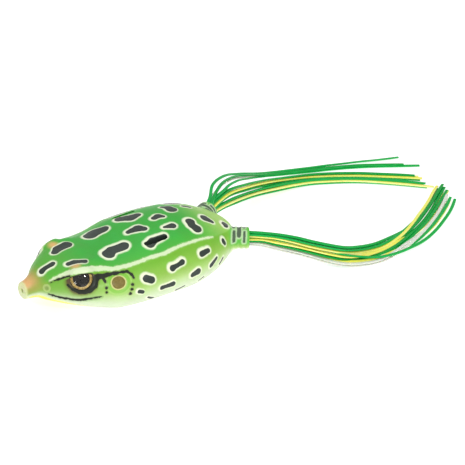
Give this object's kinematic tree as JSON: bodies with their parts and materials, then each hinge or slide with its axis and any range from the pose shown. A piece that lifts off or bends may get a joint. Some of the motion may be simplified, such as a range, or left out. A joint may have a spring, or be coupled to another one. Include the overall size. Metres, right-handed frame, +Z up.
{
  "type": "topwater frog lure",
  "caption": "Hollow soft-bodied topwater frog lure with a narrow snout, raised eyes, a hidden double hook on a hinge and two skirts of flat rubber strands for legs.",
  "frame": {"origin": "on the surface it lies on, under the middle of the body's length and width", "axes": "-X towards the snout and +X towards the skirts, -Y to the frog's left, +Z up"},
  "size_m": [0.1261, 0.0515, 0.0165],
  "materials": {
    "green_skin": "glossy soft plastic, printed with dark spots",
    "hook_steel": "black nickel",
    "weight_metal": "dull grey",
    "gold_iris": "metallic gold print with a black pupil",
    "clear_lens": "clear gloss resin",
    "black_rubber": "matte",
    "green_rubber": "satin",
    "yellow_rubber": "satin",
    "clear_rubber": "satin, translucent"
  },
  "bodies": {
    "body": {"body_skin": "green_skin", "left_eye_iris": "gold_iris", "left_eye_lens": "clear_lens", "right_eye_iris": "gold_iris", "right_eye_lens": "clear_lens", "left_skirt_band": "black_rubber", "right_skirt_band": "black_rubber", "left_skirt_root": "green_rubber", "right_skirt_root": "green_rubber"},
    "hook": {"double_hook": "hook_steel", "keel_weight": "weight_metal"},
    "left_leg": {"left_inner_strand_1_green": "green_rubber", "left_inner_strand_2_yellow": "yellow_rubber", "left_inner_strand_3_green": "green_rubber", "left_inner_strand_4_green": "green_rubber", "left_inner_strand_5_green": "green_rubber", "left_stray_strand_1_green": "green_rubber", "left_middle_strand_1_green": "green_rubber", "left_middle_strand_2_green": "green_rubber", "left_middle_strand_3_yellow": "yellow_rubber", "left_middle_strand_4_yellow": "yellow_rubber", "left_outer_strand_1_green": "green_rubber", "left_outer_strand_2_clear": "clear_rubber", "left_outer_strand_3_yellow": "yellow_rubber", "left_outer_strand_4_clear": "clear_rubber"},
    "right_leg": {"right_stray_strand_1_green": "green_rubber", "right_outer_strand_1_green": "green_rubber", "right_outer_strand_2_clear": "clear_rubber", "right_outer_strand_3_green": "green_rubber", "right_middle_strand_1_green": "green_rubber", "right_middle_strand_2_green": "green_rubber", "right_middle_strand_3_yellow": "yellow_rubber", "right_middle_strand_4_yellow": "yellow_rubber", "right_middle_strand_5_green": "green_rubber", "right_inner_strand_1_green": "green_rubber", "right_inner_strand_2_yellow": "yellow_rubber", "right_inner_strand_3_yellow": "yellow_rubber", "right_inner_strand_4_green": "green_rubber", "right_inner_strand_5_green": "green_rubber"}
  },
  "joints": [
    {"name": "hook_lift", "type": "hinge", "parent": "body", "child": "hook", "pos_m": [-0.02275, 0, 0.0071], "axis": [0, -1, 0], "range_deg": [0, 7], "stiffness_Nm_per_rad": 0.05},
    {"name": "left_leg_sweep", "type": "hinge", "parent": "body", "child": "left_leg", "pos_m": [0.02836, -0.0088, 0.00905], "axis": [0, 0, -1], "range_deg": [0, 30], "stiffness_Nm_per_rad": 0.0005},
    {"name": "right_leg_sweep", "type": "hinge", "parent": "body", "child": "right_leg", "pos_m": [0.02733, 0.00818, 0.00905], "axis": [0, 0, 1], "range_deg": [0, 30], "stiffness_Nm_per_rad": 0.0005}
  ]
}
